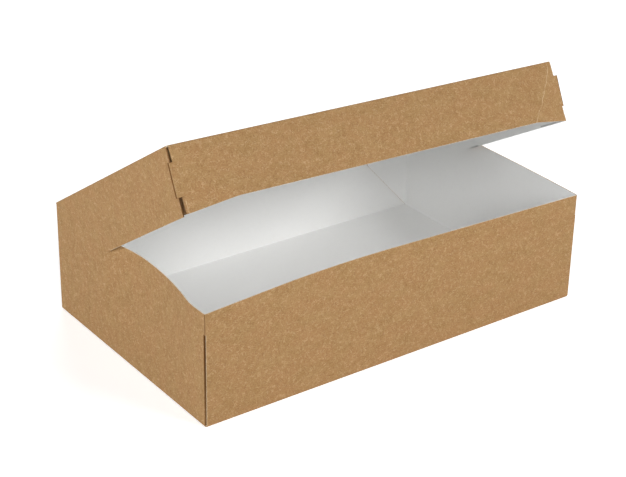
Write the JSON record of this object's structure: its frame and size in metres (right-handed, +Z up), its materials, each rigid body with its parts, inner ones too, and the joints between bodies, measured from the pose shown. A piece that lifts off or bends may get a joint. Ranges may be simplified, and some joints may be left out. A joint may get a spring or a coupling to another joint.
{
  "type": "dessert box",
  "caption": "Low oblong folding-board dessert box, kraft outside and white inside, with a hinged lid that stands part open.",
  "frame": {"origin": "centre of the tray's underside", "axes": "+X along the lid's crease, to the right seen from the opening side; -Y to the front, where the lid opens; +Y to the crease; +Z up"},
  "size_m": [0.2324, 0.14, 0.1289],
  "materials": {
    "kraft_board": "matt folding board, kraft brown outside and white inside"
  },
  "bodies": {
    "tray": {"tray": "kraft_board"},
    "lid": {"lid": "kraft_board"}
  },
  "joints": [
    {"name": "lid_hinge", "type": "hinge", "parent": "tray", "child": "lid", "pos_m": [0, 0.06975, 0.06055], "axis": [-1, 0, 0], "range_deg": [-30.3, 148.7]}
  ]
}
